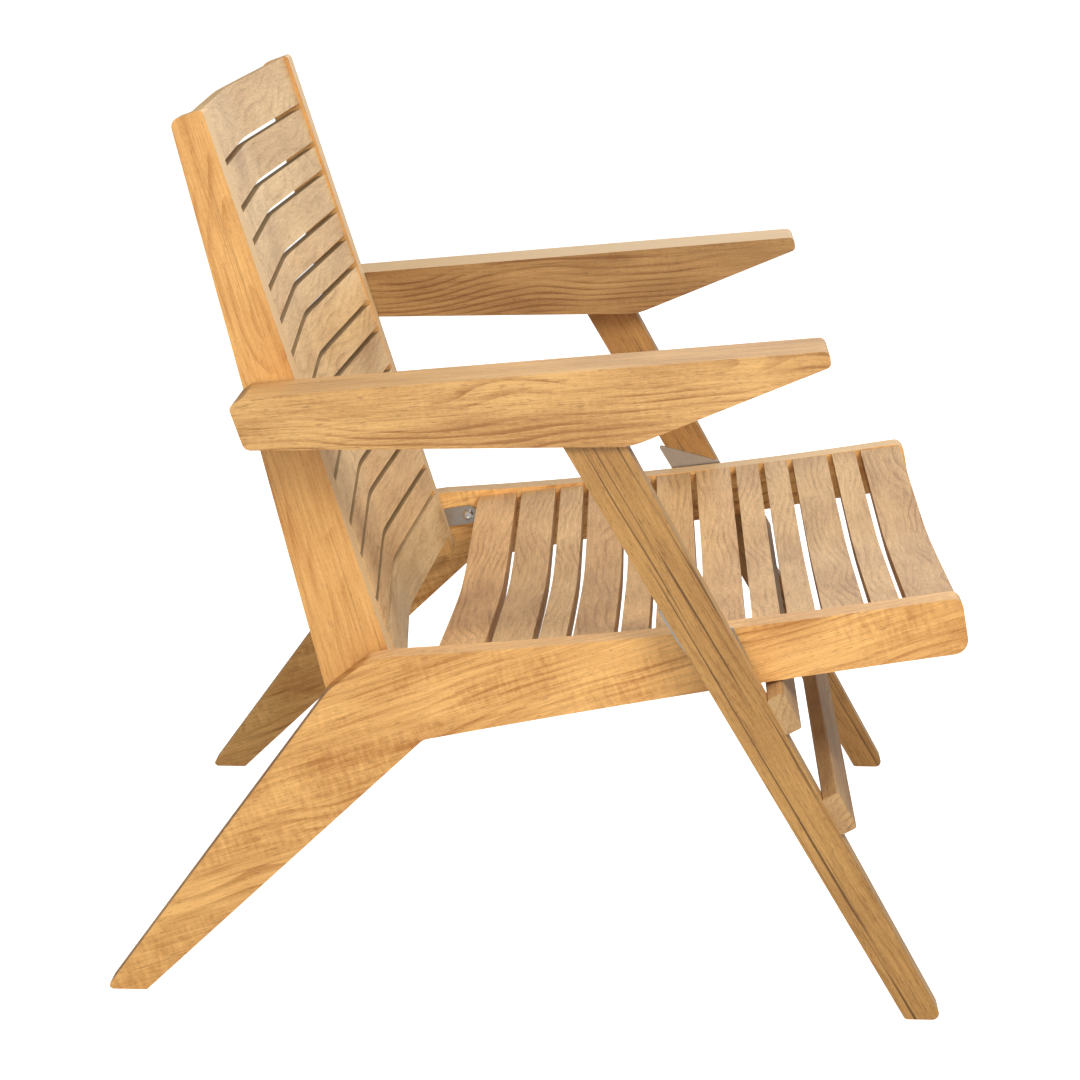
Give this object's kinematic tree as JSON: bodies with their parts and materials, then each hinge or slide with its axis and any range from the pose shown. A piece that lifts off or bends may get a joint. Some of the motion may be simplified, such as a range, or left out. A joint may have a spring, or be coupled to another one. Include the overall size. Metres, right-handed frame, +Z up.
{
  "type": "folding slatted lounge armchair",
  "caption": "Folding teak garden armchair with scooped slatted seat and back, broad tapered arms and straight front legs crossing bent rear-leg side boards.",
  "frame": {"origin": "centre of the footprint, on the floor", "axes": "the chair faces -Y, X runs across it towards the sitter's left, Z is up"},
  "size_m": [0.732, 0.7648, 0.7928],
  "materials": {
    "frame_teak": "bare sanded teak, warm brown with dark streaks",
    "slat_teak": "bare sanded teak, paler and greyer",
    "dowel_wood": "plain dowel",
    "steel": "satin stainless",
    "brass": "plain",
    "nylon": "matt"
  },
  "bodies": {
    "seat_frame": {"side_board_right": "frame_teak", "side_board_left": "frame_teak", "seat_slat_01": "slat_teak", "seat_slat_02": "slat_teak", "seat_slat_03": "slat_teak", "seat_slat_04": "slat_teak", "seat_slat_05": "slat_teak", "seat_slat_06": "slat_teak", "seat_slat_07": "slat_teak", "seat_slat_08": "slat_teak", "seat_slat_09": "slat_teak", "seat_slat_10": "slat_teak", "seat_slat_11": "slat_teak", "seat_slat_12": "slat_teak", "seat_dowels": "dowel_wood", "back_pivot_bolts": "steel", "back_pivot_inserts": "brass", "leg_pivot_bushings": "brass"},
    "back_frame": {"back_post_right": "frame_teak", "back_post_left": "frame_teak", "back_slat_01": "slat_teak", "back_slat_02": "slat_teak", "back_slat_03": "slat_teak", "back_slat_04": "slat_teak", "back_slat_05": "slat_teak", "back_slat_06": "slat_teak", "back_slat_07": "slat_teak", "back_slat_08": "slat_teak", "back_slat_09": "slat_teak", "back_slat_10": "slat_teak", "back_slat_11": "slat_teak", "back_slat_12": "slat_teak", "back_slat_13": "slat_teak", "back_slat_14": "slat_teak", "back_dowels": "dowel_wood", "hinge_plate_right": "steel", "hinge_plate_left": "steel", "hinge_plate_screws": "steel", "arm_rear_pins": "steel", "arm_rear_washers": "steel"},
    "leg_frame": {"front_leg_right": "frame_teak", "front_leg_left": "frame_teak", "stretcher_upper": "frame_teak", "stretcher_lower": "frame_teak", "stretcher_dowels": "dowel_wood", "leg_plate_right": "steel", "leg_plate_left": "steel", "leg_plate_screws": "steel", "leg_pivot_studs": "steel", "leg_pivot_washers": "nylon", "leg_pivot_nuts": "steel"},
    "arm_left": {"arm_left": "frame_teak", "arm_bushing_left": "nylon", "arm_front_pin_left": "steel"},
    "arm_right": {"arm_right": "frame_teak", "arm_bushing_right": "nylon", "arm_front_pin_right": "steel"}
  },
  "joints": [
    {"name": "back_fold", "type": "hinge", "parent": "seat_frame", "child": "back_frame", "pos_m": [0, 0.0954, 0.296], "axis": [1, 0, 0], "range_deg": [0, 97]},
    {"name": "leg_fold", "type": "hinge", "parent": "seat_frame", "child": "leg_frame", "pos_m": [0, -0.1726, 0.316], "axis": [1, 0, 0], "range_deg": [0, 97]},
    {"name": "arm_left_fold", "type": "hinge", "parent": "back_frame", "child": "arm_left", "pos_m": [0.32, 0.2254, 0.528], "axis": [1, 0, 0], "range_deg": [-97, 0]},
    {"name": "arm_right_fold", "type": "hinge", "parent": "back_frame", "child": "arm_right", "pos_m": [-0.32, 0.2254, 0.528], "axis": [1, 0, 0], "range_deg": [-97, 0]}
  ],
  "couplings": [
    {"joint": "leg_fold", "follows": "back_fold", "ratio": 1},
    {"joint": "arm_left_fold", "follows": "back_fold", "ratio": -1},
    {"joint": "arm_right_fold", "follows": "back_fold", "ratio": -1}
  ]
}
